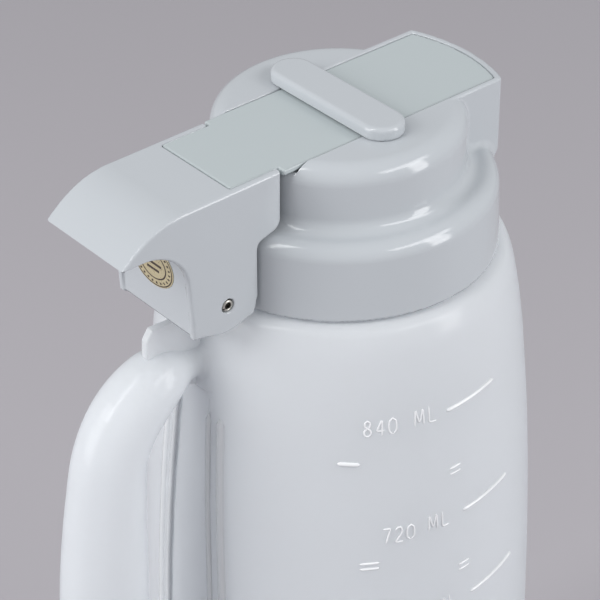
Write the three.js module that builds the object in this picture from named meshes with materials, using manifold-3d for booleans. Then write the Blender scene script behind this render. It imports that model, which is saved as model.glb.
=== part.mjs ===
// Dispenser jar: translucent jar with a moulded handle, a screw lid with a
// wide spout, and a thumb lever that slides a gate back from the spout.
// Millimetres, +Z up, +X towards the spout, base on z = 0.
import * as THREE from 'three';
import { mergeVertices } from 'three/addons/utils/BufferGeometryUtils.js';
import Module from 'manifold-3d';

const wasm = await Module();
wasm.setup();

// ---- driving dimensions -------------------------------------------------
const LID_Z = 191;            // height of the lid's bottom edge
const GAP = 0.3;              // clearance between neighbouring pieces
const SEG_JAR = 44;           // facets round the jar
const SEG_LID = 48;           // facets round the lid

// jar
const WALL = 1.3;             // blown wall
const NECK_R = 26.8, NECK_TOP = 13.5, THREAD_R = 28.6;
const BASE_R = 34, CORNER_R = 6;
// outer radius at heights below the lid's edge: [height, radius]
const JAR_STATIONS = [
  [-0.5, 31.0], [-1.4, 33.4], [-3.8, 34.6], [-10.8, 36.1], [-18.3, 37.2],
  [-28, 38.2], [-42.5, 39.45], [-60.5, 40.45], [-79, 41.1], [-103, 41.5],
  [-130, 41.3], [-158, 40.8], [-185, 40.0],
];
// handle centre line: [x, height below the lid's edge, radius]
const HANDLE_STATIONS = [
  [-29, -14, 3.6], [-37, -13.9, 3.4], [-41, -13.8, 3.9], [-43.8, -13.7, 5.1], [-46.1, -14.1, 6.1], [-50.3, -16.6, 6.9],
  [-54.6, -20.8, 7.2], [-57.9, -27.3, 7.4], [-59.4, -37.1, 7.95], [-60.5, -49.2, 8.6],
  [-61.2, -60, 8.95], [-61.7, -77, 9.1], [-61.3, -94, 9.0], [-58.2, -108, 8.7],
  [-51, -119, 8.2], [-41, -124.8, 8.0], [-29, -128, 8.0],
];
// flat moulding web between shoulder and handle, outline [x, height]
const FIN = [[-33, -3], [-40, -2.4], [-47.2, -2.0], [-48.7, -4.2], [-48.9, -8], [-46, -14], [-38.5, -19], [-33, -21]];
const FIN_T = 1.8;
// shallow flat panel in the wall behind the handle
const PANEL = { y: 6.4, deep: 0.9, top: -20, bottom: -121 };
// raised scale lines, one for each 120 ml: [height, first angle in degrees]
const MARKS = [[-20.5, -97.1], [-45.2, -92], [-66.9, -89.2], [-89.6, -88], [-112.2, -87.5], [-134.8, -87.5], [-157.4, -87.5]];
const MARK = { span: 20, high: 0.4, wide: 0.9 };
const HANDLE_STEPS = 18, HANDLE_SIDES = 14;

// lid
const COLLAR_R0 = 31.75, COLLAR_R1 = 31.35, COLLAR_TOP = 12.5;
const SHOULDER_F = 3.3, TIER_R = 24.94, TIER_F = 2.6, LEDGE_Z = 15.85;
const DOME_Z = 29.15, DOME_F = 3.85;
const SKIRT_IN = 28.9, CAVITY_R = 23.1, CAVITY_TOP = 25.7, SKIRT_TOP = 13.9;
const SPOUT_Y = 13.18, SPOUT_R = 33.4, RIM = 1.3, SPOUT_X0 = 16;
const CHANNEL_Y = 11.88, CHANNEL_FLOOR = 27.3;
const APERTURE_X = 27.4, APERTURE_Y = 10.9;

// bridge bar
const BAR_X = -0.61, BAR_L = 34.53, BAR_W = 8.96, BAR_TOP = 31.85, BAR_EDGE = 0.8;

// gate
const GATE_TOP = 28.95, GATE_X0 = -23.7, TANG_X = -34.6, TANG_Y = 9.85;
const GATE_T = 1.35, TAB_X = [-33.6, -32.2], TAB_Z = 23.6;

// lever and its pin
const PIN_X = -37.31, PIN_Z = 4.79, PIN_R = 1.2, PIN_BORE = 0.7, LUG_R = 3.5, LUG_Y = 8;
const LEVER_Y = 11.68, LEVER_T = 1.49, PLATE_T = 1.6;
const HOOD_Z = 28.93, HOOD_X1 = -24.28, HOOD_PLATE_X = -35.2;
const BEND = [-46, 28.8], BEND_C = [-54.2, 29.1], TIP = [-61.17, 22.08];
const ARCH = { x: -56.5, z: 12.4, a: 10.3, b: 9.8 };
const LEG_X0 = -45.4, LEG_X1 = -29.95, LEG_Z = 0.4, LEG_DIP = 1.5;
const WEB_X = [-45.1, -43.6], RIB_X = [-31.9, -30.5], RIB_Z = [20.5, 25.4];

// label
const LABEL = { y: 0.6, z: 11.4, a: 6.1, b: 4.5, t: 0.2 };

// ---- helpers -------------------------------------------------------------
// closed mesh -> solid
function solid(geo) {
  let g = geo.index ? geo.toNonIndexed() : geo.clone();
  for (const k of Object.keys(g.attributes)) if (k !== 'position') g.deleteAttribute(k);
  g = mergeVertices(g, 1e-4);
  const p = g.attributes.position.array, src = g.index.array, tri = [];
  for (let i = 0; i < src.length; i += 3) {
    const [a, b, c] = [src[i], src[i + 1], src[i + 2]];
    if (a !== b && b !== c && c !== a) tri.push(a, b, c);
  }
  let vol = 0;
  const v = (i) => new THREE.Vector3(p[3 * i], p[3 * i + 1], p[3 * i + 2]);
  for (let i = 0; i < tri.length; i += 3) {
    vol += v(tri[i]).dot(v(tri[i + 1]).cross(v(tri[i + 2])));
  }
  if (vol < 0) for (let i = 0; i < tri.length; i += 3) [tri[i], tri[i + 1]] = [tri[i + 1], tri[i]];
  return new wasm.Manifold(new wasm.Mesh({
    numProp: 3, vertProperties: new Float32Array(p), triVerts: new Uint32Array(tri),
  }));
}

// turn a profile of [radius, z] about Z
function revolve(pts, seg) {
  const g = new THREE.LatheGeometry(pts.map(([r, z]) => new THREE.Vector2(Math.max(r, 0), z)), seg);
  g.rotateX(Math.PI / 2);
  return solid(g);
}

const shapeOf = (pts) => new THREE.Shape(pts.map(([a, b]) => new THREE.Vector2(a, b)));

// outline in X-Z, thick along Y
function prismY(pts, y0, y1) {
  const g = new THREE.ExtrudeGeometry(shapeOf(pts), { depth: y1 - y0, bevelEnabled: false });
  g.rotateX(Math.PI / 2);
  g.translate(0, y1, 0);
  return solid(g);
}

// outline in X-Y, thick along Z
function prismZ(pts, z0, z1) {
  const g = new THREE.ExtrudeGeometry(shapeOf(pts), { depth: z1 - z0, bevelEnabled: false });
  g.translate(0, 0, z0);
  return solid(g);
}

function box(x0, x1, y0, y1, z0, z1) {
  const g = new THREE.BoxGeometry(x1 - x0, y1 - y0, z1 - z0);
  g.translate((x0 + x1) / 2, (y0 + y1) / 2, (z0 + z1) / 2);
  return solid(g);
}

// cylinder along Y
function rodY(x, z, r, y0, y1, seg = 24) {
  const g = new THREE.CylinderGeometry(r, r, y1 - y0, seg);
  g.translate(x, (y0 + y1) / 2, z);
  return solid(g);
}

// points of an arc, angles in degrees
function arc(cx, cz, rx, rz, a0, a1, n) {
  const out = [];
  for (let i = 0; i <= n; i++) {
    const a = THREE.MathUtils.degToRad(a0 + ((a1 - a0) * i) / n);
    out.push([cx + rx * Math.cos(a), cz + rz * Math.sin(a)]);
  }
  return out;
}

// tube with a changing radius along stations [x, z, r] in the X-Z plane
function taperTube(stations, inset, steps, sides) {
  const path = new THREE.CatmullRomCurve3(
    stations.map(([x, z, r]) => new THREE.Vector3(x, r, z)), false, 'centripetal');
  const pos = [], idx = [];
  for (let i = 0; i <= steps; i++) {
    const t = i / steps, p = path.getPoint(t), d = path.getTangent(t);
    const l = Math.hypot(d.x, d.z), nx = -d.z / l, nz = d.x / l, r = p.y - inset;
    for (let j = 0; j < sides; j++) {
      const a = (2 * Math.PI * j) / sides;
      pos.push(p.x + nx * r * Math.cos(a), r * Math.sin(a), p.z + nz * r * Math.cos(a));
    }
  }
  for (let i = 0; i < steps; i++) for (let j = 0; j < sides; j++) {
    const k = (j + 1) % sides, a = i * sides + j, b = i * sides + k;
    idx.push(a, b, a + sides, b, b + sides, a + sides);
  }
  const last = steps * sides;
  for (let j = 1; j < sides - 1; j++) idx.push(0, j + 1, j, last, last + j, last + j + 1);
  const g = new THREE.BufferGeometry();
  g.setAttribute('position', new THREE.Float32BufferAttribute(pos, 3));
  g.setIndex(idx);
  return solid(g);
}

const up = (pts) => pts.map(([a, z]) => [a, z + LID_Z]);
const Z = (z) => z + LID_Z;

function mesh(name, body, color, roughness, metalness = 0, opacity = 1) {
  const m = body.getMesh(), g = new THREE.BufferGeometry(), n = m.numProp;
  const pos = new Float32Array((m.vertProperties.length / n) * 3);
  for (let i = 0; i < pos.length / 3; i++) {
    for (let k = 0; k < 3; k++) pos[3 * i + k] = m.vertProperties[n * i + k];
  }
  g.setAttribute('position', new THREE.BufferAttribute(pos, 3));
  g.setIndex(new THREE.BufferAttribute(new Uint32Array(m.triVerts), 1));
  g.computeVertexNormals();
  const mat = new THREE.MeshStandardMaterial({
    color, roughness, metalness, opacity, transparent: opacity < 1, flatShading: true,
  });
  const out = new THREE.Mesh(g, mat);
  out.name = name;
  return out;
}

// ---- jar ------------------------------------------------------------------
function jarProfile(inset) {
  const curve = new THREE.CatmullRomCurve3(
    JAR_STATIONS.map(([z, r]) => new THREE.Vector3(r, z, 0)), false, 'centripetal');
  const side = [];
  const n = 12;
  for (let i = 0; i <= n; i++) {
    const p = curve.getPoint(i / n);
    side.push([p.x - inset, p.y - (p.x < 33 ? inset : 0)]);
  }
  const base = inset;
  const corner = arc(BASE_R - inset * 0.5, -LID_Z + CORNER_R + base * 0.5, CORNER_R - inset * 0.5,
    CORNER_R - inset * 0.5, -15, -90, 5);
  return [...side, ...corner];
}

function jarRadius(z) {
  const i = Math.max(1, JAR_STATIONS.findIndex(([h]) => h < z));
  const [z0, r0] = JAR_STATIONS[i - 1], [z1, r1] = JAR_STATIONS[i];
  return r0 + ((r1 - r0) * (z - z0)) / (z1 - z0);
}

// curved strips standing on the wall
function scaleLines(target) {
  let out = target;
  const steps = 3, rad = THREE.MathUtils.degToRad;
  for (const [z, from] of MARKS) {
    const r = jarRadius(z);
    const ring = (rr) => Array.from({ length: steps + 1 }, (_, i) => {
      const a = rad(from + (MARK.span * i) / steps);
      return [rr * Math.cos(a), rr * Math.sin(a)];
    });
    out = out.add(prismZ([...ring(r - 0.6), ...ring(r + MARK.high).reverse()],
      Z(z - MARK.wide / 2), Z(z + MARK.wide / 2)));
  }
  return out;
}

function buildJar() {
  const outer = revolve(up([
    [0, NECK_TOP], [NECK_R, NECK_TOP],
    [NECK_R, 10.4], [THREAD_R, 9.8], [THREAD_R, 8.6], [NECK_R, 8.0],
    [NECK_R, 5.4], [THREAD_R, 4.8], [THREAD_R, 3.6], [NECK_R, 3.0],
    [NECK_R, -0.4], ...jarProfile(0), [0, -LID_Z],
  ]), SEG_JAR);
  const inner = revolve(up([
    [0, NECK_TOP + 1], [NECK_R - WALL, NECK_TOP + 1], [NECK_R - WALL, -1.8],
    ...jarProfile(WALL), [0, -LID_Z + WALL],
  ]), SEG_JAR);
  const stations = HANDLE_STATIONS.map(([x, z, r]) => [x, Z(z), r]);
  const grip = taperTube(stations, 0, HANDLE_STEPS, HANDLE_SIDES);
  const bore = taperTube(stations, WALL, HANDLE_STEPS, HANDLE_SIDES);
  const panel = (grow) => {
    const top = PANEL.top + grow, bottom = PANEL.bottom - grow, face = [];
    for (let i = 0; i <= 6; i++) {
      const z = top + ((bottom - top) * i) / 6;
      face.push([-(jarRadius(z) - PANEL.deep - grow), z]);
    }
    return prismY(up([[-60, top], ...face, [-60, bottom]]), -PANEL.y - grow, PANEL.y + grow);
  };
  const fin = prismY(up(FIN), -FIN_T / 2, FIN_T / 2);
  return scaleLines(outer.subtract(panel(0)).add(grip).add(fin)).subtract(inner.subtract(panel(WALL)).add(bore));
}

// ---- lid ------------------------------------------------------------------
function buildLid() {
  const shell = revolve(up([
    [0, 0], [COLLAR_R0, 0], [COLLAR_R1, COLLAR_TOP],
    ...arc(COLLAR_R1 - SHOULDER_F, COLLAR_TOP, SHOULDER_F, LEDGE_Z - COLLAR_TOP, 15, 90, 5),
    ...arc(TIER_R + TIER_F, LEDGE_Z + TIER_F, TIER_F, TIER_F, 270, 180, 5),
    ...arc(TIER_R - DOME_F, DOME_Z - DOME_F, DOME_F, DOME_F, 0, 90, 6),
    [0, DOME_Z],
  ]), SEG_LID);
  const reach = (r, z0, z1) => revolve(up([[0, z0], [r, z0], [r, z1], [0, z1]]), SEG_LID);
  const spout = box(SPOUT_X0, 36, -SPOUT_Y, SPOUT_Y, Z(9), Z(DOME_Z)).intersect(
    revolve(up([[0, 9], [COLLAR_R1, 9], [SPOUT_R, 13], [SPOUT_R, DOME_Z], [0, DOME_Z]]), SEG_LID));
  const lug = rodY(PIN_X, Z(PIN_Z), LUG_R, -LUG_Y, LUG_Y).add(
    box(PIN_X, -29.4, -LUG_Y, LUG_Y, Z(PIN_Z - LUG_R), Z(PIN_Z + LUG_R)));
  const cavity = revolve(up([
    [0, -1], [SKIRT_IN, -1], [SKIRT_IN, 12], [27.2, SKIRT_TOP], [CAVITY_R, SKIRT_TOP],
    [CAVITY_R, CAVITY_TOP], [0, CAVITY_TOP],
  ]), SEG_LID);
  const inR = SPOUT_R - RIM;
  const pocket = box(10, 36, -CHANNEL_Y, CHANNEL_Y, Z(15.6), Z(CAVITY_TOP))
    .intersect(reach(inR, 15, CAVITY_TOP + 1));
  const channel = box(-40, 36, -CHANNEL_Y, CHANNEL_Y, Z(CHANNEL_FLOOR), Z(DOME_Z + 2))
    .intersect(reach(inR, CHANNEL_FLOOR - 1, DOME_Z + 3));
  const aperture = box(APERTURE_X, 36, -APERTURE_Y, APERTURE_Y, Z(CAVITY_TOP - 1), Z(CHANNEL_FLOOR + 1))
    .intersect(reach(inR, CAVITY_TOP - 2, CHANNEL_FLOOR + 2));
  return shell.add(spout).add(lug)
    .subtract(cavity.add(pocket)).subtract(channel).subtract(aperture)
    .subtract(rodY(PIN_X, Z(PIN_Z), PIN_R + GAP, -LUG_Y - 1, LUG_Y + 1));
}

// ---- bridge bar -----------------------------------------------------------
function stadium(cx, halfW, halfL, inset) {
  const r = halfW - inset, c = halfL - halfW, out = [];
  for (let i = 0; i <= 10; i++) {
    const a = (Math.PI * i) / 10;
    out.push([cx + r * Math.cos(a), c + r * Math.sin(a)]);
  }
  for (let i = 0; i <= 10; i++) {
    const a = Math.PI + (Math.PI * i) / 10;
    out.push([cx + r * Math.cos(a), -c + r * Math.sin(a)]);
  }
  return out;
}

function buildBridge() {
  const z0 = DOME_Z + GAP;
  let bar = prismZ(stadium(BAR_X, BAR_W / 2, BAR_L / 2, 0), Z(z0), Z(BAR_TOP - BAR_EDGE));
  for (let i = 1; i <= 3; i++) {
    const a = ((Math.PI / 2) * (i - 1)) / 3, b = ((Math.PI / 2) * i) / 3;
    bar = bar.add(prismZ(stadium(BAR_X, BAR_W / 2, BAR_L / 2, BAR_EDGE * (1 - Math.cos(b))),
      Z(BAR_TOP - BAR_EDGE) - 0.05 + BAR_EDGE * Math.sin(a), Z(BAR_TOP - BAR_EDGE) + BAR_EDGE * Math.sin(b)));
  }
  return bar;
}

// ---- gate -----------------------------------------------------------------
function buildGate() {
  const z0 = Z(GATE_TOP - GATE_T), z1 = Z(GATE_TOP), w = CHANNEL_Y - GAP;
  const front = revolve([[0, z0 - 1], [SPOUT_R - RIM - GAP, z0 - 1], [SPOUT_R - RIM - GAP, z1 + 1], [0, z1 + 1]], SEG_LID);
  const plate = box(GATE_X0, 36, -w, w, z0, z1).intersect(front);
  const tang = box(TANG_X, GATE_X0 + 1, -TANG_Y, TANG_Y, z0, z1);
  const tab = box(TAB_X[0], TAB_X[1], -5, 5, Z(TAB_Z), z1 - 0.5);
  return plate.add(tang).add(tab);
}

// ---- lever ----------------------------------------------------------------
function hoodCurve(n, drop = 0) {
  const out = [];
  for (let i = 0; i <= n; i++) {
    const t = i / n, s = 1 - t;
    out.push([
      s * s * BEND[0] + 2 * s * t * BEND_C[0] + t * t * TIP[0],
      s * s * BEND[1] + 2 * s * t * BEND_C[1] + t * t * TIP[1] - drop,
    ]);
  }
  return out;
}

function buildLever() {
  const dip = [];
  for (let i = 0; i <= 8; i++) {
    const t = i / 8;
    dip.push([LEG_X0 + (LEG_X1 - LEG_X0) * t, LEG_Z - LEG_DIP * Math.sin(Math.PI * t) ** 2]);
  }
  const side = up([
    [HOOD_X1, HOOD_Z], ...hoodCurve(12),
    ...arc(ARCH.x, ARCH.z, ARCH.a, ARCH.b, 90, 0, 10),
    ...dip,
    [LEG_X1, 13.6], ...arc(-28.7, 14.4, 1.2, 1.3, 165, 105, 3),
    ...arc(-26.9, 18.9, 2.5, 2.5, 280, 360, 5),
  ]);
  const plateOutline = up([
    [HOOD_PLATE_X, HOOD_Z - 0.2], ...hoodCurve(12, 0.05), [TIP[0] + 0.4, TIP[1] - 0.04],
    ...hoodCurve(12, PLATE_T).reverse().slice(1), [HOOD_PLATE_X, HOOD_Z - 0.2 - PLATE_T],
  ]);
  const yi = LEVER_Y - LEVER_T;
  let lever = prismY(side, yi, LEVER_Y).add(prismY(side, -LEVER_Y, -yi))
    .add(prismY(plateOutline, -yi - 0.5, yi + 0.5))
    .add(box(WEB_X[0], WEB_X[1], -yi - 0.5, yi + 0.5, Z(LEG_Z + 0.2), Z(HOOD_Z - 1)))
    .add(box(RIB_X[0], RIB_X[1], -yi - 0.5, yi + 0.5, Z(RIB_Z[0]), Z(RIB_Z[1])));
  // clearance round the collar, wider at the foot where the leg swings in
  const clear = revolve(up([
    [0, -6], [33.6, -6], [33.3, 0.2], [32.15, 4.5], [32.15, 14.2], [0, 14.2],
  ]), SEG_LID);
  lever = lever.subtract(clear)
    .subtract(rodY(PIN_X, Z(PIN_Z), PIN_R + GAP, -LEVER_Y - 1, LEVER_Y + 1));
  return lever;
}

// ---- pin and label --------------------------------------------------------
function buildPin() {
  return rodY(PIN_X, Z(PIN_Z), PIN_R, -LEVER_Y, LEVER_Y)
    .subtract(rodY(PIN_X, Z(PIN_Z), PIN_BORE, -LEVER_Y - 1, LEVER_Y + 1));
}

function buildLabel() {
  const g = new THREE.CylinderGeometry(1, 1, LABEL.t, 40);
  g.rotateZ(Math.PI / 2);
  g.scale(1, LABEL.b, LABEL.a);
  g.rotateX(Math.PI / 2);
  g.translate(WEB_X[0] - 0.15 - LABEL.t / 2, LABEL.y, Z(LABEL.z));
  return solid(g);
}

// ---- assembly -------------------------------------------------------------
const group = new THREE.Group();
group.add(
  mesh('jar', buildJar(), 0xe6eaf0, 0.35, 0, 0.75),
  mesh('lid', buildLid(), 0xc3cbcc, 0.32),
  mesh('bridge', buildBridge(), 0xc9d0d1, 0.32),
  mesh('gate', buildGate(), 0xb9c5c5, 0.34),
  mesh('lever', buildLever(), 0xbfc8cb, 0.32),
  mesh('pin', buildPin(), 0xb8b8b4, 0.3, 1),
  mesh('label', buildLabel(), 0xa8925a, 0.4, 0.6),
);
export default group;
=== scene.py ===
import math

import bpy
import numpy as np
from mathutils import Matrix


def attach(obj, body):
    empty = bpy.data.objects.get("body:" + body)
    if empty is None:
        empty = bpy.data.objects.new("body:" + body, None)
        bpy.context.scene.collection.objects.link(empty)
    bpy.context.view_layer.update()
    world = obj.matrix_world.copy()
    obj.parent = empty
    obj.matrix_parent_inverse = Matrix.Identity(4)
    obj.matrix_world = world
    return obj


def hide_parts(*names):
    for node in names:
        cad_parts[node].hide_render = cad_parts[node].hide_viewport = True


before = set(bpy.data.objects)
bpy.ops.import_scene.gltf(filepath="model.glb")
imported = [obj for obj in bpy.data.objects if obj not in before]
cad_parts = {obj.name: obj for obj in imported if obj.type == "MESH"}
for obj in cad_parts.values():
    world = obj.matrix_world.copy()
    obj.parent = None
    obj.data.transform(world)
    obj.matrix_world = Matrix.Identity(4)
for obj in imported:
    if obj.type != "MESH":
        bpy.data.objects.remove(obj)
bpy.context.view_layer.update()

F = np.float32

# ---------------------------------------------------------------------------
# Dimensions, millimetres, heights counted from the lid's bottom edge
# ---------------------------------------------------------------------------
LID_Z = 191.0
WALL = 1.3
NECK_R, NECK_TOP, THREAD_R = 26.8, 13.5, 28.6
BASE_R, CORNER_R = 34.0, 6.0
JAR_STATIONS = [(-0.5, 31.0), (-1.4, 33.4), (-3.8, 34.6), (-10.8, 36.1), (-18.3, 37.2), (-28, 38.2),
                (-42.5, 39.45), (-60.5, 40.45), (-79, 41.1), (-103, 41.5), (-130, 41.3), (-158, 40.8), (-185, 40.0)]
HANDLE_STATIONS = [(-29, -14, 3.6), (-37, -13.9, 3.4), (-41, -13.8, 3.9), (-43.8, -13.7, 5.1), (-46.1, -14.1, 6.1), (-50.3, -16.6, 6.9),
                   (-54.6, -20.8, 7.2), (-57.9, -27.3, 7.4), (-59.4, -37.1, 7.95), (-60.5, -49.2, 8.6),
                   (-61.2, -60, 8.95), (-61.7, -77, 9.1), (-61.3, -94, 9.0), (-58.2, -108, 8.7),
                   (-51, -119, 8.2), (-41, -124.8, 8.0), (-29, -128, 8.0)]
PANEL_DEEP, PANEL_TOP, PANEL_BOTTOM = 0.9, -20.0, -121.0
# scale lines: height, first angle of the line, first angles of digits and letters
MARKS = [(-20.5, -97.1, -123.6, -108.3), (-45.2, -92.0, -118.0, -104.4), (-66.9, -89.2, -115.2, -101.8),
         (-89.6, -88.0, -114.0, -100.8), (-112.2, -87.5, -113.5, -100.3), (-134.8, -87.5, -113.5, -100.3),
         (-157.4, -87.5, -113.5, -100.3)]
FIN = [(-33, -3), (-40, -2.4), (-47.2, -2.0), (-48.7, -4.2), (-48.9, -8), (-46, -14), (-38.5, -19), (-33, -21)]
FIN_T = 1.8
COLLAR_R0, COLLAR_R1, COLLAR_TOP = 31.75, 31.35, 12.5
SHOULDER_F, TIER_R, TIER_F, LEDGE_Z = 3.3, 24.94, 2.6, 15.85
DOME_Z, DOME_F = 29.15, 3.85
SKIRT_IN, CAVITY_R, CAVITY_TOP, SKIRT_TOP = 28.9, 23.1, 25.7, 13.9
SPOUT_Y, SPOUT_R, RIM, SPOUT_X0 = 13.18, 33.4, 1.3, 16.0
CHANNEL_Y, CHANNEL_FLOOR = 11.88, 27.3
APERTURE_X, APERTURE_Y = 27.4, 10.9
BAR_X, BAR_L, BAR_W, BAR_TOP = -0.61, 34.53, 8.96, 31.85
GATE_TOP, GATE_X0, TANG_X, TANG_Y, GATE_T = 28.95, -23.7, -34.6, 9.85, 1.35
PIN_X, PIN_Z, PIN_R, PIN_BORE, LUG_R, LUG_Y = -37.31, 4.79, 1.2, 0.7, 3.5, 8.0
LEVER_Y, LEVER_T, PLATE_T = 11.68, 1.49, 1.6
HOOD_Z, HOOD_X1, HOOD_PLATE_X = 28.93, -24.28, -35.2
BEND, BEND_C, TIP = (-46, 28.8), (-54.2, 29.1), (-61.17, 22.08)
ARCH = (-56.5, 12.4, 10.3, 9.8)
LEG_X0, LEG_X1, LEG_Z, LEG_DIP = -45.4, -29.95, 0.4, 1.5
WEB_X = (-45.1, -43.6)
RIB_X, RIB_Z = (-31.9, -30.5), (20.5, 25.4)
LABEL = dict(y=0.6, z=11.4, a=6.1, b=4.5)


# ---------------------------------------------------------------------------
# Signed distance tools
# ---------------------------------------------------------------------------
def arc(cx, cz, rx, rz, a0, a1, n):
    a = np.radians(np.linspace(a0, a1, n + 1))
    return [(cx + rx * math.cos(t), cz + rz * math.sin(t)) for t in a]


def catmull(points, n):
    """Centripetal curve through points, n samples evenly in parameter over each span."""
    P = np.array(points, float)
    P = np.vstack([2 * P[0] - P[1], P, 2 * P[-1] - P[-2]])
    out = []
    for i in range(1, len(P) - 2):
        p0, p1, p2, p3 = P[i - 1:i + 3]
        t0 = 0.0
        t1 = t0 + np.linalg.norm(p1 - p0) ** 0.5
        t2 = t1 + np.linalg.norm(p2 - p1) ** 0.5
        t3 = t2 + np.linalg.norm(p3 - p2) ** 0.5
        for t in np.linspace(t1, t2, n, endpoint=False):
            a1 = (t1 - t) / (t1 - t0) * p0 + (t - t0) / (t1 - t0) * p1
            a2 = (t2 - t) / (t2 - t1) * p1 + (t - t1) / (t2 - t1) * p2
            a3 = (t3 - t) / (t3 - t2) * p2 + (t - t2) / (t3 - t2) * p3
            b1 = (t2 - t) / (t2 - t0) * a1 + (t - t0) / (t2 - t0) * a2
            b2 = (t3 - t) / (t3 - t1) * a2 + (t - t1) / (t3 - t1) * a3
            out.append((t2 - t) / (t2 - t1) * b1 + (t - t1) / (t2 - t1) * b2)
    out.append(P[-2])
    return np.array(out)


class Outline:
    """Signed distance to a closed outline, read from a fine table."""

    def __init__(self, pts, step=0.12, pad=3.0):
        pts = np.array(pts, float)
        lo, hi = pts.min(0) - pad, pts.max(0) + pad
        n = np.ceil((hi - lo) / step).astype(int) + 2
        ga = lo[0] + step * np.arange(n[0])
        gb = lo[1] + step * np.arange(n[1])
        A, B = np.meshgrid(ga, gb, indexing="ij")
        d2 = np.full(A.shape, 1e9)
        inside = np.zeros(A.shape, bool)
        for p, q in zip(pts, np.roll(pts, -1, axis=0)):
            e = q - p
            L = e @ e
            if L < 1e-12:
                continue
            t = np.clip(((A - p[0]) * e[0] + (B - p[1]) * e[1]) / L, 0, 1)
            d2 = np.minimum(d2, (A - p[0] - t * e[0]) ** 2 + (B - p[1] - t * e[1]) ** 2)
            if abs(e[1]) > 1e-12:
                cross = (p[1] > B) != (q[1] > B)
                inside ^= cross & (A < e[0] * (B - p[1]) / e[1] + p[0])
        d = np.sqrt(d2)
        self.T = np.where(inside, -d, d).astype(F)
        self.lo, self.step, self.n = lo, step, n

    def __call__(self, a, b):
        u = (a - self.lo[0]) / self.step
        v = (b - self.lo[1]) / self.step
        uc = np.clip(u, 0, self.n[0] - 1.001)
        vc = np.clip(v, 0, self.n[1] - 1.001)
        i, j = uc.astype(np.int32), vc.astype(np.int32)
        fu, fv = (uc - i).astype(F), (vc - j).astype(F)
        T = self.T
        d = ((T[i, j] * (1 - fu) + T[i + 1, j] * fu) * (1 - fv) + (T[i, j + 1] * (1 - fu) + T[i + 1, j + 1] * fu) * fv)
        return d + self.step * np.hypot(u - uc, v - vc).astype(F)


def both(a, b, r=0.0):
    """Common part, with its outer edge rounded by r."""
    if r <= 0:
        return np.maximum(a, b)
    u, v = np.maximum(a + r, 0), np.maximum(b + r, 0)
    return np.minimum(-r, np.maximum(a, b)) + np.hypot(u, v)


def join(a, b, r=0.0):
    """Union, with a fillet of radius r (a number or an array)."""
    if np.isscalar(r) and r <= 0:
        return np.minimum(a, b)
    u, v = np.maximum(r - a, 0), np.maximum(r - b, 0)
    return np.maximum(r, np.minimum(a, b)) - np.hypot(u, v)


def cut(a, b, r=0.0):
    return both(a, -b, r)


def taper(P, samples):
    """Distance to a chain of round segments [x, z, r] in the X-Z plane."""
    out = np.full(len(P), 1e6, F)
    s = samples.astype(F)
    near = (P[:, 0] < s[:, 0].max() + 25) & (P[:, 2] > s[:, 1].min() - 25) & (P[:, 2] < s[:, 1].max() + 25)
    x, y2, z = P[near, 0], P[near, 1] ** 2, P[near, 2]
    best = np.full(len(x), 1e6, F)
    for (x0, z0, r0), (x1, z1, r1) in zip(s[:-1], s[1:]):
        ex, ez = x1 - x0, z1 - z0
        t = np.clip(((x - x0) * ex + (z - z0) * ez) / (ex * ex + ez * ez), 0, 1)
        d = np.sqrt((x - x0 - t * ex) ** 2 + (z - z0 - t * ez) ** 2 + y2) - (r0 + t * (r1 - r0))
        best = np.minimum(best, d)
    out[near] = best
    out[~near] = 25.0
    return out


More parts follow.
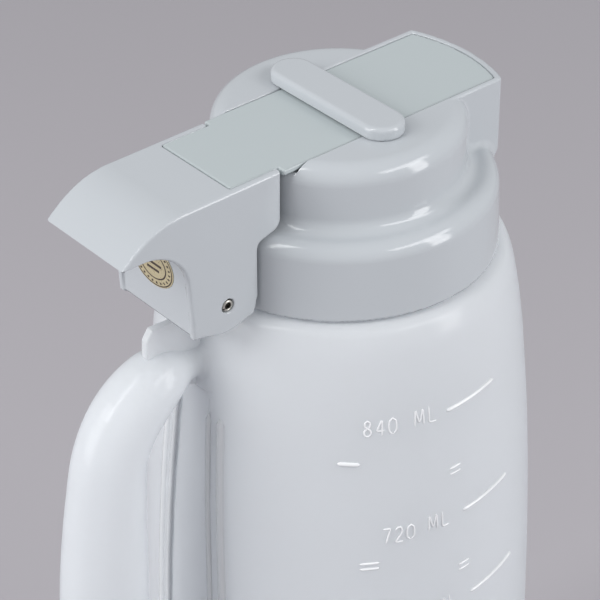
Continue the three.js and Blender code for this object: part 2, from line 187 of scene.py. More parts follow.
def mesh_sdf(sdf, lo, hi, h, eps=0.05, steps=3):
    """Closed quad mesh of sdf = 0, its points moved onto the true surface. Returns points, quads, normals."""
    lo, hi = np.array(lo, float), np.array(hi, float)
    n = np.ceil((hi - lo) / h).astype(int) + 1
    ax = [(lo[i] + h * np.arange(n[i])).astype(F) for i in range(3)]
    D = np.empty(n, F)
    YZ = np.stack(np.meshgrid(ax[1], ax[2], indexing="ij"), -1).reshape(-1, 2)
    per = max(1, int(400000 / len(YZ)))
    for i in range(0, n[0], per):
        xs = ax[0][i:i + per]
        P = np.empty((len(xs) * len(YZ), 3), F)
        P[:, 0] = np.repeat(xs, len(YZ))
        P[:, 1:] = np.tile(YZ, (len(xs), 1))
        D[i:i + per] = sdf(P).reshape(len(xs), n[1], n[2])
    D[np.abs(D) < 1e-5] = 1e-5
    S = D < 0
    c = n - 1
    offs = [(i, j, k) for i in (0, 1) for j in (0, 1) for k in (0, 1)]
    cnt = np.zeros(c, np.int8)
    for i, j, k in offs:
        cnt += S[i:c[0] + i, j:c[1] + j, k:c[2] + k]
    cell = np.argwhere((cnt > 0) & (cnt < 8))
    idx = np.full(c, -1, np.int64)
    idx[tuple(cell.T)] = np.arange(len(cell))
    acc, num = np.zeros((len(cell), 3)), np.zeros(len(cell))
    for a in offs:
        for axis in range(3):
            if a[axis]:
                continue
            b = list(a)
            b[axis] = 1
            da = D[tuple((cell + a).T)]
            db = D[tuple((cell + b).T)]
            m = (da < 0) != (db < 0)
            t = da[m] / (da[m] - db[m])
            p = np.array(a, float)[None].repeat(m.sum(), 0)
            p[:, axis] += t
            acc[m] += p
            num[m] += 1
    V = lo + h * (cell + acc / num[:, None])
    quads = []
    for axis in range(3):
        o1, o2 = (axis + 1) % 3, (axis + 2) % 3
        sl0 = [slice(None)] * 3
        sl1 = [slice(None)] * 3
        sl0[axis], sl1[axis] = slice(0, n[axis] - 1), slice(1, n[axis])
        A, B = S[tuple(sl0)], S[tuple(sl1)]
        e = np.argwhere(A != B)
        e = e[(e[:, o1] > 0) & (e[:, o2] > 0) & (e[:, o1] < c[o1]) & (e[:, o2] < c[o2])]
        down = A[tuple(e.T)]
        ids = []
        for p, q in ((0, 0), (-1, 0), (-1, -1), (0, -1)):
            w = e.copy()
            w[:, o1] += p
            w[:, o2] += q
            ids.append(idx[tuple(w.T)])
        q = np.stack(ids, 1)
        q[~down] = q[~down][:, ::-1]
        quads.append(q)
    Q = np.vstack(quads)

    def grad(V):
        g = np.zeros(V.shape)
        for k in range(3):
            d = np.zeros(3)
            d[k] = eps
            g[:, k] = sdf((V + d).astype(F)).astype(float) - sdf((V - d).astype(F)).astype(float)
        return g / (2 * eps)

    for _ in range(steps):
        g = grad(V)
        d = sdf(V.astype(F)).astype(float)
        s = np.clip(d / np.maximum((g ** 2).sum(1), 0.25), -0.6 * h, 0.6 * h)
        V = V - s[:, None] * g
    g = grad(V)
    N = g / np.maximum(np.linalg.norm(g, axis=1), 1e-9)[:, None]
    return V, Q, N


def make_object(name, V, Q, N=None, lift=LID_Z):
    me = bpy.data.meshes.new(name)
    V = np.array(V, float)
    P = (V + [0, 0, lift]) / 1000.0
    if isinstance(Q, np.ndarray):
        me.vertices.add(len(P))
        me.vertices.foreach_set("co", P.astype(F).ravel())
        me.loops.add(Q.size)
        me.loops.foreach_set("vertex_index", Q.astype(np.int32).ravel())
        me.polygons.add(len(Q))
        me.polygons.foreach_set("loop_start", (np.arange(len(Q)) * Q.shape[1]).astype(np.int32))
        me.update(calc_edges=True)
    else:
        me.from_pydata(P.tolist(), [], [list(map(int, f)) for f in Q])
    me.validate()
    me.polygons.foreach_set("use_smooth", np.ones(len(me.polygons), bool))
    if N is not None:
        me.normals_split_custom_set_from_vertices(N.astype(float).tolist())
    ob = bpy.data.objects.new(name, me)
    bpy.context.scene.collection.objects.link(ob)
    return ob


def boolean(ob, other, op="DIFFERENCE"):
    m = ob.modifiers.new("b", "BOOLEAN")
    m.operation, m.object = op, other
    try:
        m.solver = "MANIFOLD"
    except TypeError:
        m.solver = "EXACT"
    dg = bpy.context.evaluated_depsgraph_get()
    me = bpy.data.meshes.new_from_object(ob.evaluated_get(dg))
    ob.modifiers.clear()
    old = ob.data
    ob.data = me
    bpy.data.meshes.remove(old)
    bpy.data.objects.remove(other)


# ---------------------------------------------------------------------------
# Jar
# ---------------------------------------------------------------------------
side = catmull([(r, z) for z, r in JAR_STATIONS], 8)
body_pts = [(-6, NECK_TOP), (NECK_R, NECK_TOP), (NECK_R, 10.4), (THREAD_R, 9.8), (THREAD_R, 8.6), (NECK_R, 8.0),
            (NECK_R, 5.4), (THREAD_R, 4.8), (THREAD_R, 3.6), (NECK_R, 3.0), (NECK_R, -0.4)]
body_pts += [tuple(p) for p in side]
body_pts += arc(BASE_R, -LID_Z + CORNER_R, CORNER_R, CORNER_R, -10, -90, 14)
body_pts += [(27.0, -LID_Z), (24.5, -LID_Z + 0.9), (-6, -LID_Z + 1.4)]
body_outline = Outline(body_pts, step=0.2)
handle_s = catmull(HANDLE_STATIONS, 5)
wall_z, wall_r = side[::-1, 1].astype(F), side[::-1, 0].astype(F)
fin_outline = Outline(FIN)


def jar_outer(P):
    x, ay, z = P[:, 0], np.abs(P[:, 1]), P[:, 2]
    r = np.hypot(x, ay)
    d = body_outline(r, z) + F(0.08)
    face = x + np.interp(z, wall_z, wall_r).astype(F)
    half = np.clip(4.0 - 0.045 * (z + 20.0), 4.0, 6.4).astype(F)
    ends = np.maximum(z - F(PANEL_TOP - 0.3), F(PANEL_BOTTOM + 0.3) - z)
    panel = both(both(ay - half, face - F(PANEL_DEEP), 0.0), ends, 0.0)
    d = np.where(x < 0, cut(d, panel, 1.4), d)
    return join(d, taper(P, handle_s) + F(0.1), 1.2)


def web_sdf(P):
    return both(fin_outline(P[:, 0], P[:, 2]) + F(0.1), np.abs(P[:, 1]) - F(FIN_T / 2), 0.35)


def jar_inner(P):
    d = jar_outer(P) + F(WALL)
    r = np.hypot(P[:, 0], P[:, 1])
    return np.minimum(d, np.maximum(r - F(NECK_R - WALL), np.maximum(F(4.0) - P[:, 2], P[:, 2] - F(16.0))))


def build_jar():
    h = 0.95
    lo, hi = (-74, -45, -193), (45, 45, 16)
    V, Q, N = mesh_sdf(jar_outer, lo, hi, h, eps=0.2, steps=4)
    outer = make_object("jar_body", V, Q)
    V2, Q2, _ = mesh_sdf(jar_inner, lo, (45, 45, 18), h * 1.4, eps=0.2, steps=3)
    inner = make_object("jar_hollow", V2, Q2)
    boolean(outer, inner)
    me = outer.data
    co = np.empty(len(me.vertices) * 3, F)
    me.vertices.foreach_get("co", co)
    P = co.reshape(-1, 3) * 1000 - np.array([0, 0, LID_Z], F)
    di, do = np.abs(jar_inner(P)), np.abs(jar_outer(P))
    N = np.zeros(P.shape)
    for k in range(3):
        e = np.zeros(3, F)
        e[k] = 0.2
        go = jar_outer(P + e) - jar_outer(P - e)
        gi = jar_inner(P + e) - jar_inner(P - e)
        N[:, k] = np.where(do <= di, go, -gi)
    N /= np.maximum(np.linalg.norm(N, axis=1), 1e-9)[:, None]
    me.polygons.foreach_set("use_smooth", np.ones(len(me.polygons), bool))
    me.normals_split_custom_set_from_vertices(N.tolist())
    return outer


# ---------------------------------------------------------------------------
# Lid
# ---------------------------------------------------------------------------
lid_pts = [(-6, 0), (COLLAR_R0 - 0.35, 0), (COLLAR_R0 - 0.1, 0.1), (COLLAR_R0, 0.35)]
lid_pts += arc(COLLAR_R1 - SHOULDER_F, COLLAR_TOP, SHOULDER_F, LEDGE_Z - COLLAR_TOP, 0, 90, 20)
lid_pts += arc(TIER_R + TIER_F, LEDGE_Z + TIER_F, TIER_F, TIER_F, 270, 180, 20)
lid_pts += arc(TIER_R - DOME_F, DOME_Z - DOME_F, DOME_F, DOME_F, 0, 90, 24)
lid_pts += [(-6, DOME_Z)]
lid_outline = Outline(lid_pts)
cavity_outline = Outline([(-6, -3), (SKIRT_IN, -3), (SKIRT_IN, 12), (27.2, SKIRT_TOP), (CAVITY_R, SKIRT_TOP),
                          (CAVITY_R, CAVITY_TOP), (-6, CAVITY_TOP)])
spout_outline = Outline([(-6, 8.6), (COLLAR_R1 - 0.4, 8.6), (SPOUT_R, 13), (SPOUT_R, 36), (-6, 36)])


def lid_sdf(P):
    x, y, z = P[:, 0], P[:, 1], P[:, 2]
    ay, r = np.abs(y), np.hypot(P[:, 0], P[:, 1])
    shell = lid_outline(r, z)
    spout = both(ay - F(SPOUT_Y), spout_outline(r, z), 0.7)
    spout = both(spout, z - F(DOME_Z), 0.45)
    spout = np.maximum(spout, F(SPOUT_X0) - x)
    fillet = 1.3 * np.clip((27.8 - z) / 4.0, 0.01, 1.0)
    d = join(shell, spout, fillet.astype(F))
    lx = np.clip(x, PIN_X, -27.0)
    lug = both(np.hypot(x - lx, z - F(PIN_Z)) - F(LUG_R), ay - F(LUG_Y), 0.4)
    d = join(d, np.maximum(lug, x + 29.0), 0.8)
    inner_r = r - F(SPOUT_R - RIM)
    pocket = both(both(ay - F(CHANNEL_Y), inner_r, -0.0), np.maximum(F(15.6) - z, z - F(CAVITY_TOP)), 0.0)
    pocket = np.maximum(pocket, 10.0 - x)
    d = cut(d, np.minimum(cavity_outline(r, z), pocket), 0.25)
    channel = np.maximum(np.maximum(ay - F(CHANNEL_Y), inner_r), F(CHANNEL_FLOOR) - z)
    d = cut(d, channel, 0.35)
    ap = np.maximum(np.maximum(ay - F(APERTURE_Y), inner_r), F(APERTURE_X) - x)
    ap = np.maximum(ap, F(CAVITY_TOP - 1) - z)
    d = cut(d, ap, 0.25)
    return cut(d, np.hypot(x - F(PIN_X), z - F(PIN_Z)) - F(PIN_R + 0.3), 0.15)


# ---------------------------------------------------------------------------
# Bridge bar and gate
# ---------------------------------------------------------------------------
def bridge_sdf(P):
    x, y, z = P[:, 0] - F(BAR_X), P[:, 1], P[:, 2]
    c = BAR_L / 2 - BAR_W / 2
    rad = np.hypot(x, y - np.clip(y, -c, c)) - F(BAR_W / 2 - 0.02)
    d = both(rad, z - F(BAR_TOP - 0.02), 0.95)
    return both(d, F(DOME_Z + 0.06) - z, 0.25)


def gate_sdf(P):
    x, y, z = P[:, 0], P[:, 1], P[:, 2]
    ay, r = np.abs(y), np.hypot(P[:, 0], P[:, 1])
    wide = both(ay - F(CHANNEL_Y - 0.08), both(r - F(SPOUT_R - RIM - 0.08), F(GATE_X0) - x, 0.3), 0.3)
    tang = both(ay - F(LEVER_Y - LEVER_T - 0.1), F(HOOD_PLATE_X + 0.12) - x, 0.4)
    tang = np.maximum(tang, x + 20.0)
    flat = join(wide, tang, 0.4)
    plate = both(flat, np.abs(z - F(GATE_TOP - GATE_T / 2)) - F(GATE_T / 2), 0.16)
    tab = np.maximum(np.abs(x - F(-32.9)) - 0.7, np.abs(y) - 5.0)
    tab = both(tab, np.maximum(F(23.6) - z, z - F(GATE_TOP - 0.6)), 0.2)
    return join(plate, tab, 0.4)


# ---------------------------------------------------------------------------
# Lever
# ---------------------------------------------------------------------------
def hood_curve(n, drop=0.0):
    out = []
    for t in np.linspace(0, 1, n + 1):
        s = 1 - t
        out.append(tuple(s * s * BEND[k] + 2 * s * t * BEND_C[k] + t * t * TIP[k] - (drop if k else 0) for k in (0, 1)))
    return out


dip = [(LEG_X0 + (LEG_X1 - LEG_X0) * t, LEG_Z - LEG_DIP * math.sin(math.pi * t) ** 2) for t in np.linspace(0, 1, 17)]
lever_side = Outline([(HOOD_X1, HOOD_Z)] + hood_curve(36) + arc(*ARCH, 90, 0, 30) + dip + [(LEG_X1, 13.6)]
                     + arc(-28.7, 14.4, 1.2, 1.3, 170, 105, 8) + arc(-26.9, 18.9, 2.5, 2.5, 280, 360, 12))
plate_band = Outline([(HOOD_PLATE_X, 40)] + [(-75, 40), (-75, 8)] + hood_curve(36, PLATE_T)[::-1]
                     + [(HOOD_PLATE_X, HOOD_Z - 0.1 - PLATE_T)])
clear_outline = Outline([(-6, -8), (33.6, -8), (33.3, 0.2), (32.15, 4.5), (32.15, 14.2), (-6, 14.2)])


def lever_sdf(P):
    x, y, z = P[:, 0], P[:, 1], P[:, 2]
    ay, r = np.abs(y), np.hypot(P[:, 0], P[:, 1])
    solid = both(lever_side(x, z), ay - F(LEVER_Y), 0.5)
    web = np.maximum(np.maximum(F(WEB_X[0]) - x, x - F(WEB_X[1])), F(LEG_Z + 0.2) - z)
    rib = np.maximum(np.abs(x - F(sum(RIB_X) / 2)) - F(0.7), np.abs(z - F(sum(RIB_Z) / 2)) - F((RIB_Z[1] - RIB_Z[0]) / 2))
    between = np.minimum(join(plate_band(x, z), web, 1.0), rib)
    keep = join(F(LEVER_Y - LEVER_T) - ay, between, 0.5)
    d = both(solid, keep, 0.25)
    d = cut(d, clear_outline(r, z), 0.25)
    return cut(d, np.hypot(x - F(PIN_X), z - F(PIN_Z)) - F(PIN_R + 0.25), 0.15)


def build_sdf(name, sdf, lo, hi, h, eps=0.06):
    V, Q, N = mesh_sdf(sdf, lo, hi, h, eps=eps)
    return make_object(name, V, Q, N)


# ---------------------------------------------------------------------------
# Pin: rolled spring pin with a slit, label: thin oval disc
# ---------------------------------------------------------------------------
def build_pin():
    prof = []
    L, ro, ri = LEVER_Y - 0.05, PIN_R, PIN_BORE
    prof += [(ro, -L + 0.22), (ro, L - 0.22), (ro - 0.08, L - 0.07), (ro - 0.2, L), (ri + 0.08, L), (ri, L - 0.08),
             (ri, -L + 0.08), (ri + 0.08, -L), (ro - 0.2, -L), (ro - 0.08, -L + 0.07)]
    n, m = 48, len(prof)
    slit = math.radians(6)
    V, Q = [], []
    for i in range(n + 1):
        a = slit + (2 * math.pi - 2 * slit) * i / n + math.radians(200)
        for r, y in prof:
            V.append((PIN_X + r * math.cos(a), y, PIN_Z + r * math.sin(a)))
    for i in range(n):
        for j in range(m):
            k = (j + 1) % m
            Q.append((i * m + j, (i + 1) * m + j, (i + 1) * m + k, i * m + k))
    Q.append(tuple(range(m)))
    Q.append(tuple(n * m + j for j in reversed(range(m))))
    ob = make_object("hinge_pin", V, Q)
    fix_normals(ob, 40)
    return ob


def fix_normals(ob, angle):
    import bmesh
    bm = bmesh.new()
    bm.from_mesh(ob.data)
    bmesh.ops.recalc_face_normals(bm, faces=bm.faces)
    bm.to_mesh(ob.data)
    bm.free()
    ob.data.set_sharp_from_angle(angle=math.radians(angle))


def build_label():
    n, rings = 96, [(0.0, 0.16), (0.5, 0.16), (0.97, 0.16), (0.992, 0.15), (1.0, 0.11), (1.0, 0.02)]
    x0 = WEB_X[0] - 0.01
    V, Q = [(x0 - rings[0][1], LABEL["y"], LABEL["z"])], []
    for s, t in rings[1:]:
        for i in range(n):
            a = 2 * math.pi * i / n
            V.append((x0 - t, LABEL["y"] + LABEL["a"] * s * math.cos(a), LABEL["z"] + LABEL["b"] * s * math.sin(a)))
    for i in range(n):
        j = (i + 1) % n
        Q.append((0, 1 + j, 1 + i))
        for k in range(len(rings) - 2):
            a, b = 1 + k * n, 1 + (k + 1) * n
            Q.append((a + i, a + j, b + j, b + i))
    Q.append(tuple(1 + (len(rings) - 2) * n + i for i in range(n)))
    ob = make_object("label_disc", V, Q)
    fix_normals(ob, 50)
    return ob


# ---------------------------------------------------------------------------
# Raised scale on the jar: thin beads laid on the wall
# ---------------------------------------------------------------------------
side_z, side_r = side[::-1, 1].astype(float), side[::-1, 0].astype(float)


def jar_r(z):
    return float(np.interp(z, side_z, side_r))


GLYPHS = {  # strokes on a 0..1 by 0..1 cell
    "8": [[(.5, .52), (.82, .65), (.82, .88), (.5, 1), (.18, .88), (.18, .65), (.5, .52), (.88, .38), (.88, .12), (.5, 0),
           (.12, .12), (.12, .38), (.5, .52)]],
    "4": [[(.72, 0), (.72, 1), (.05, .3), (.98, .3)]],
    "0": [[(.5, 0), (.12, .15), (.02, .5), (.12, .85), (.5, 1), (.88, .85), (.98, .5), (.88, .15), (.5, 0)]],
    "7": [[(.05, 1), (.95, 1), (.4, 0)]],
    "2": [[(.08, .8), (.3, 1), (.7, 1), (.92, .8), (.85, .55), (.05, 0), (.98, 0)]],
    "6": [[(.85, .92), (.5, 1), (.15, .75), (.05, .3), (.3, 0), (.7, 0), (.95, .25), (.75, .5), (.35, .5), (.08, .3)]],
    "3": [[(.08, .88), (.4, 1), (.8, .9), (.85, .65), (.45, .53), (.9, .4), (.92, .15), (.5, 0), (.06, .12)]],
    "1": [[(.3, .82), (.6, 1), (.6, 0)]],
    "M": [[(0, 0), (.08, 1), (.5, .15), (.92, 1), (1, 0)]],
    "L": [[(.05, 1), (.05, 0), (.9, 0)]],
}


def bead(V, Q, pts, w, hgt, step=0.45):
    """Half-round bead along (phi degrees, z) points on the jar wall, ends tapered."""
    pts = np.array(pts, float)
    seg = np.hypot(np.diff(pts[:, 0]) * 0.7, np.diff(pts[:, 1]))
    t = np.r_[0, np.cumsum(seg)]
    n = max(4, int(t[-1] / step) + 1)
    s = np.linspace(0, t[-1], n)
    phi, z = np.interp(s, t, pts[:, 0]), np.interp(s, t, pts[:, 1])
    C = []
    for p, q in zip(phi, z):
        a, r = math.radians(p), jar_r(q) - 0.08
        C.append((r * math.cos(a), r * math.sin(a), q))
    C = np.array(C)
    T = np.gradient(C, axis=0)
    T /= np.linalg.norm(T, axis=1)[:, None]
    R = np.c_[C[:, 0], C[:, 1], np.zeros(n)]
    R /= np.linalg.norm(R, axis=1)[:, None]
    B = np.cross(T, R)
    sides = 8
    base = len(V)
    for i in range(n):
        e = min(1.0, math.sqrt(max(0.0, (min(s[i], t[-1] - s[i]) + 0.05) / (w * 0.5))))
        for j in range(sides):
            a = 2 * math.pi * j / sides
            V.append(tuple(C[i] + R[i] * (hgt * e * math.sin(a)) + B[i] * (0.5 * w * e * math.cos(a))))
    for i in range(n - 1):
        for j in range(sides):
            k = (j + 1) % sides
            a = base + i * sides
            Q.append((a + j, a + k, a + sides + k, a + sides + j))
    Q.append(tuple(base + j for j in reversed(range(sides))))
    Q.append(tuple(base + (n - 1) * sides + j for j in range(sides)))


def letters(V, Q, text, phi, z, hgt=3.5, wid=1.7, gap=0.8, high=0.24):
    for ch in text:
        r = jar_r(z)
        scale = math.degrees(wid / r)
        for stroke in GLYPHS[ch]:
            bead(V, Q, [(phi + scale * a, z + hgt * b) for a, b in stroke], 0.42, high)
        phi += math.degrees((wid + gap) / r)


def build_ribs():
    """Pairs of fine upright ribs beside the panel behind the handle."""
    V, Q = [], []
    zs = np.linspace(-24.0, -117.0, 24)
    for first, last, w, h in ((7.2, 10.2, 1.3, 0.5), (11.8, 14.6, 1.9, 0.5)):
        off = np.interp(-zs, (21, 66, 90), (first, first + (last - first) * 0.83, last))
        for sgn in (-1, 1):
            pts = [(sgn * (180.0 - o), z) for o, z in zip(off, zs)]
            bead(V, Q, pts, w, h, step=1.2)
    ob = make_object("grip_ribs", V, Q)
    fix_normals(ob, 60)
    return ob


def build_scale():
    V, Q = [], []
    eq_phi = (-96.5, -93.6, -91.5, -90.5, -90.0, -90.0)
    for k, ((z, line, digits, unit), ml) in enumerate(zip(MARKS, (840, 720, 600, 480, 360, 240, 120))):
        bead(V, Q, [(line, z - 0.5), (line + 20.0, z + 0.6)], 0.85, 0.40)
        faint = 0.16 if k == 0 else 0.24
        letters(V, Q, str(ml), digits, z - 2.9 + (0.6 if k == 0 else 0.0), high=faint)
        letters(V, Q, "ML", unit + 0.5, z - 2.2 + (0.5 if k == 0 else 0.0), wid=1.9, gap=1.1, high=faint)
        if k < 6:
            half = z - (14.2 if k else 14.6)
            for dz in (0.65, -0.65):
                bead(V, Q, [(eq_phi[k], half + dz - 0.15), (eq_phi[k] + 3.9, half + dz + 0.1)], 0.5, 0.28)
        left = z - (8.2, 7.9, 9.2, 8.6, 8.4, 8.2, 8.0)[k]
        first = line - 34.0
        if k % 2 == 0:
            bead(V, Q, [(first, left + 0.2), (first + 6.5, left - 0.2)], 0.95, 0.42)
        else:
            for dz in (0.65, -0.65):
                bead(V, Q, [(first + 1.4, left + dz), (first + 7.0, left + dz)], 0.55, 0.32)
    ob = make_object("scale_marks", V, Q)
    fix_normals(ob, 60)
    return ob


# ---------------------------------------------------------------------------
# Materials
# ---------------------------------------------------------------------------
def new_mat(name):
    m = bpy.data.materials.new(name)
    m.use_nodes = True
    nt = m.node_tree
    nt.nodes.clear()
    out = nt.nodes.new("ShaderNodeOutputMaterial")
    return m, nt, out


def node(nt, kind, **inputs):
    n = nt.nodes.new(kind)
    for k, v in inputs.items():
        key = k.replace("_", " ")
        n.inputs[key].default_value = v
    return n


def noise(nt, coord, scale, detail=4.0, rough=0.5):
    n = node(nt, "ShaderNodeTexNoise", Scale=scale, Detail=detail, Roughness=rough)
    nt.links.new(coord.outputs["Object"], n.inputs["Vector"])
    return n


def ramp(nt, src, lo, hi, a, b):
    n = nt.nodes.new("ShaderNodeMapRange")
    n.inputs["From Min"].default_value = lo
    n.inputs["From Max"].default_value = hi
    n.inputs["To Min"].default_value = a
    n.inputs["To Max"].default_value = b
    nt.links.new(src, n.inputs["Value"])
    return n


def tint(nt, fac, c0, c1):
    n = nt.nodes.new("ShaderNodeMix")
    n.data_type = "RGBA"
    n.inputs["A"].default_value = (*c0, 1)
    n.inputs["B"].default_value = (*c1, 1)
    nt.links.new(fac, n.inputs["Factor"])
    return n.outputs["Result"]


def moulded_plastic(name, c0, c1, rough=(0.26, 0.36), bump=0.04, sss=0.0):
    """Injection-moulded plastic: fine grain, faint flow marks, small changes of tint and gloss."""
    m, nt, out = new_mat(name)
    tc = nt.nodes.new("ShaderNodeTexCoord")
    flow = noise(nt, tc, 38.0, 3.0, 0.5)
    fine = noise(nt, tc, 1400.0, 3.0, 0.6)
    wide = noise(nt, tc, 120.0, 5.0, 0.55)
    b = node(nt, "ShaderNodeBsdfPrincipled")
    b.inputs["Specular IOR Level"].default_value = 0.5
    b.inputs["IOR"].default_value = 1.49
    if sss:
        b.inputs["Subsurface Weight"].default_value = sss
        b.inputs["Subsurface Radius"].default_value = (0.0022, 0.002, 0.0018)
        b.inputs["Subsurface Scale"].default_value = 1.0
    nt.links.new(tint(nt, flow.outputs["Fac"], c0, c1), b.inputs["Base Color"])
    r = ramp(nt, wide.outputs["Fac"], 0.3, 0.7, *rough)
    nt.links.new(r.outputs[0], b.inputs["Roughness"])
    bp1 = node(nt, "ShaderNodeBump", Strength=bump, Distance=0.0002)
    nt.links.new(fine.outputs["Fac"], bp1.inputs["Height"])
    bp2 = node(nt, "ShaderNodeBump", Strength=0.05, Distance=0.0008)
    nt.links.new(flow.outputs["Fac"], bp2.inputs["Height"])
    nt.links.new(bp1.outputs[0], bp2.inputs["Normal"])
    nt.links.new(bp2.outputs[0], b.inputs["Normal"])
    nt.links.new(b.outputs[0], out.inputs["Surface"])
    return m


def blown_plastic(name, c0, c1):
    """Milky blow-moulded plastic: light passes into and through the wall, the skin is softly glossy."""
    m, nt, out = new_mat(name)
    tc = nt.nodes.new("ShaderNodeTexCoord")
    cloud = noise(nt, tc, 26.0, 3.0, 0.5)
    wave = noise(nt, tc, 75.0, 2.0, 0.4)
    fine = noise(nt, tc, 900.0, 3.0, 0.6)
    b = node(nt, "ShaderNodeBsdfPrincipled")
    b.inputs["Specular IOR Level"].default_value = 0.42
    b.inputs["IOR"].default_value = 1.5
    nt.links.new(tint(nt, cloud.outputs["Fac"], c0, c1), b.inputs["Base Color"])
    r = ramp(nt, wave.outputs["Fac"], 0.3, 0.7, 0.16, 0.21)
    nt.links.new(r.outputs[0], b.inputs["Roughness"])
    bp1 = node(nt, "ShaderNodeBump", Strength=0.03, Distance=0.0002)
    nt.links.new(fine.outputs["Fac"], bp1.inputs["Height"])
    bp2 = node(nt, "ShaderNodeBump", Strength=0.10, Distance=0.0012)
    nt.links.new(wave.outputs["Fac"], bp2.inputs["Height"])
    nt.links.new(bp1.outputs[0], bp2.inputs["Normal"])
    nt.links.new(bp2.outputs[0], b.inputs["Normal"])
    tr = node(nt, "ShaderNodeBsdfTranslucent", Color=(0.955, 0.965, 0.985, 1))
    nt.links.new(bp2.outputs[0], tr.inputs["Normal"])
    mix = node(nt, "ShaderNodeMixShader", Fac=0.5)
    nt.links.new(b.outputs[0], mix.inputs[1])
    nt.links.new(tr.outputs[0], mix.inputs[2])
    nt.links.new(mix.outputs[0], out.inputs["Surface"])
    return m


def steel(name):
    m, nt, out = new_mat(name)
    tc = nt.nodes.new("ShaderNodeTexCoord")
    n1 = noise(nt, tc, 900.0, 4.0, 0.6)
    b = node(nt, "ShaderNodeBsdfPrincipled", Metallic=1.0)
    nt.links.new(tint(nt, n1.outputs["Fac"], (0.42, 0.40, 0.36), (0.62, 0.60, 0.55)), b.inputs["Base Color"])
    r = ramp(nt, n1.outputs["Fac"], 0.3, 0.7, 0.22, 0.42)
    nt.links.new(r.outputs[0], b.inputs["Roughness"])
    nt.links.new(b.outputs[0], out.inputs["Surface"])
    return m


def label_mat(name):
    """Gold foil oval with a dark band near its edge and a plain bar and ticks."""
    m, nt, out = new_mat(name)
    tc = nt.nodes.new("ShaderNodeTexCoord")
    mp = nt.nodes.new("ShaderNodeMapping")
    mp.vector_type = "POINT"
    k = 1000.0
    mp.inputs["Location"].default_value = (0, -LABEL["y"] / LABEL["a"], -(LABEL["z"] + LID_Z) / LABEL["b"])
    mp.inputs["Scale"].default_value = (0.0, k / LABEL["a"], k / LABEL["b"])
    nt.links.new(tc.outputs["Object"], mp.inputs["Vector"])
    ln = nt.nodes.new("ShaderNodeVectorMath")
    ln.operation = "LENGTH"
    nt.links.new(mp.outputs[0], ln.inputs[0])
    sep = nt.nodes.new("ShaderNodeSeparateXYZ")
    nt.links.new(mp.outputs[0], sep.inputs[0])

    def math_node(op, a, b):
        n = nt.nodes.new("ShaderNodeMath")
        n.operation = op
        for i, v in enumerate((a, b)):
            if isinstance(v, (int, float)):
                n.inputs[i].default_value = v
            else:
                nt.links.new(v, n.inputs[i])
        return n.outputs[0]

    def band(v, lo, hi):
        return math_node("MULTIPLY", math_node("GREATER_THAN", v, lo), math_node("LESS_THAN", v, hi))

    ring = band(ln.outputs["Value"], 0.60, 0.66)
    rim = band(ln.outputs["Value"], 0.91, 0.96)
    absy = math_node("ABSOLUTE", sep.outputs["Y"], 0.0)
    bar = math_node("MULTIPLY", band(sep.outputs["Z"], 0.02, 0.14), math_node("LESS_THAN", absy, 0.42))
    bar2 = math_node("MULTIPLY", band(sep.outputs["Z"], -0.26, -0.14), math_node("LESS_THAN", absy, 0.30))
    ticks = math_node("MULTIPLY", band(ln.outputs["Value"], 0.76, 0.86),
                      math_node("GREATER_THAN", math_node("SINE", math_node("MULTIPLY", math_node("ARCTAN2", sep.outputs["Z"], sep.outputs["Y"]), 24.0), 0.0), 0.35))
    dark = math_node("MAXIMUM", math_node("MAXIMUM", ring, rim), math_node("MAXIMUM", math_node("MAXIMUM", bar, bar2), ticks))
    b = node(nt, "ShaderNodeBsdfPrincipled")
    n1 = noise(nt, tc, 1200.0, 3.0, 0.5)
    gold = tint(nt, n1.outputs["Fac"], (0.58, 0.50, 0.30), (0.68, 0.60, 0.40))
    mixc = nt.nodes.new("ShaderNodeMix")
    mixc.data_type = "RGBA"
    mixc.inputs["B"].default_value = (0.045, 0.028, 0.018, 1)
    nt.links.new(dark, mixc.inputs["Factor"])
    nt.links.new(gold, mixc.inputs["A"])
    nt.links.new(mixc.outputs["Result"], b.inputs["Base Color"])
    met = ramp(nt, dark, 0, 1, 0.45, 0.0)
    nt.links.new(met.outputs[0], b.inputs["Metallic"])
    rr = ramp(nt, n1.outputs["Fac"], 0.3, 0.7, 0.25, 0.38)
    nt.links.new(rr.outputs[0], b.inputs["Roughness"])
    nt.links.new(b.outputs[0], out.inputs["Surface"])
    return m


LID_C = ((0.492, 0.520, 0.546), (0.506, 0.534, 0.560))
GATE_C = ((0.462, 0.512, 0.522), (0.474, 0.523, 0.533))
JAR_C = ((0.85, 0.875, 0.888), (0.88, 0.90, 0.912))

m_jar = blown_plastic("milky_plastic", *JAR_C)
m_rib = moulded_plastic("rib_plastic", (0.64, 0.66, 0.68), (0.67, 0.69, 0.71), rough=(0.18, 0.24), bump=0.02)
m_mark = moulded_plastic("mark_plastic", (0.80, 0.815, 0.83), (0.84, 0.85, 0.865), rough=(0.18, 0.24), bump=0.02)
m_lid = moulded_plastic("grey_plastic", *LID_C, rough=(0.10, 0.15), bump=0.02)
m_gate = moulded_plastic("gate_plastic", *GATE_C, rough=(0.30, 0.36), bump=0.05)
m_pin = steel("rolled_steel")
m_label = label_mat("foil_label")

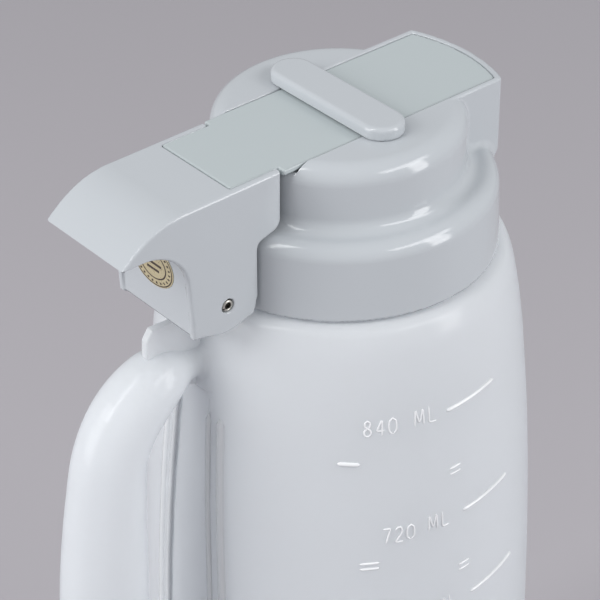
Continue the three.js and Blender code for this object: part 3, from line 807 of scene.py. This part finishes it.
# ---------------------------------------------------------------------------
# Pieces
# ---------------------------------------------------------------------------
jar = build_jar()
marks = build_scale()
ribs = build_ribs()
web = build_sdf("handle_web", web_sdf, (-50, -1.9, -22), (-31, 1.9, -1), 0.4)
lid = build_sdf("lid_cap", lid_sdf, (-43, -33.5, -1.5), (35.5, 33.5, 31), 0.6)
bridge = build_sdf("bridge_bar", bridge_sdf, (-7, -19, 28), (6, 19, 33.5), 0.4)
gate = build_sdf("gate_plate", gate_sdf, (-36.5, -13.5, 22), (34, 13.5, 30.5), 0.42)
lever = build_sdf("thumb_lever", lever_sdf, (-63, -13.5, -3), (-22.5, 13.5, 31), 0.48)
pin = build_pin()
label = build_label()

for ob, body, nodes, slot, mat in (
    (jar, "root", ["jar"], "jar_plastic", m_jar),
    (marks, "root", [], "jar_plastic", m_mark),
    (ribs, "root", [], "jar_plastic", m_rib),
    (web, "root", [], "jar_plastic", m_jar),
    (lid, "root", ["lid"], "lid_plastic", m_lid),
    (bridge, "root", ["bridge"], "lid_plastic", m_lid),
    (gate, "gate", ["gate"], "gate_plastic", m_gate),
    (lever, "lever", ["lever"], "lid_plastic", m_lid),
    (pin, "root", ["pin"], "pin_steel", m_pin),
    (label, "lever", ["label"], "label_foil", m_label),
):
    ob.data.materials.clear()
    ob.data.materials.append(mat)
    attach(ob, body)
    if nodes:
        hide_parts(*nodes)

# ---------------------------------------------------------------------------
# Floor, light, camera
# ---------------------------------------------------------------------------
bpy.ops.mesh.primitive_plane_add(size=6.0, location=(0, 0, 0))
floor = bpy.context.object
floor.name = "floor"
mf, nt, out = new_mat("floor_mat")
bf = node(nt, "ShaderNodeBsdfPrincipled", Base_Color=(0.428, 0.410, 0.436, 1), Roughness=0.9)
nt.links.new(bf.outputs[0], out.inputs["Surface"])
floor.data.materials.append(mf)

world = bpy.data.worlds.new("studio")
bpy.context.scene.world = world
world.use_nodes = True
bg = world.node_tree.nodes["Background"]
bg.inputs["Color"].default_value = (0.96, 0.97, 1.0, 1)
bg.inputs["Strength"].default_value = 0.50


def area(name, loc, aim, size, power, color=(1, 1, 1)):
    L = bpy.data.lights.new(name, "AREA")
    L.shape = "RECTANGLE"
    L.size, L.size_y = size
    L.energy = power
    L.color = color
    ob = bpy.data.objects.new(name, L)
    bpy.context.scene.collection.objects.link(ob)
    import mathutils
    d = mathutils.Vector(aim) - mathutils.Vector(loc)
    ob.location = loc
    ob.rotation_euler = d.to_track_quat("-Z", "Y").to_euler()
    return ob


area("front_high", (0.36, -0.80, 0.92), (0, 0, 0.19), (0.85, 0.24), 3.3)
area("back_high", (-0.74, 0.06, 0.98), (0, 0, 0.19), (0.20, 0.80), 3.3)
area("left_soft", (-1.02, 0.36, 0.50), (0, 0, 0.15), (0.6, 0.9), 7.0)
area("right_soft", (0.55, -0.95, 0.45), (0, 0, 0.15), (0.30, 0.9), 5.0)

AZ, EL, ROLL = map(math.radians, (-40.17, 34.43, -0.23))
back = np.array([math.sin(AZ) * math.cos(EL), -math.cos(AZ) * math.cos(EL), math.sin(EL)])
right = np.array([math.cos(AZ), math.sin(AZ), 0.0])
upv = np.cross(right, -back)
right2 = math.cos(ROLL) * right + math.sin(ROLL) * upv
up2 = -math.sin(ROLL) * right + math.cos(ROLL) * upv
import mathutils
cam = bpy.data.cameras.new("camera")
cam.sensor_width = 36.0
cam.lens = 2466.55 / 600.0 * 36.0
cam.clip_start, cam.clip_end = 0.02, 20.0
cam_ob = bpy.data.objects.new("camera", cam)
bpy.context.scene.collection.objects.link(cam_ob)
rot = mathutils.Matrix([[right2[i], up2[i], back[i]] for i in range(3)])
cam_ob.matrix_world = mathutils.Matrix.Translation((-0.27093, -0.30909, 0.4562)) @ rot.to_4x4()
bpy.context.scene.camera = cam_ob
bpy.context.scene.view_settings.view_transform = "Standard"
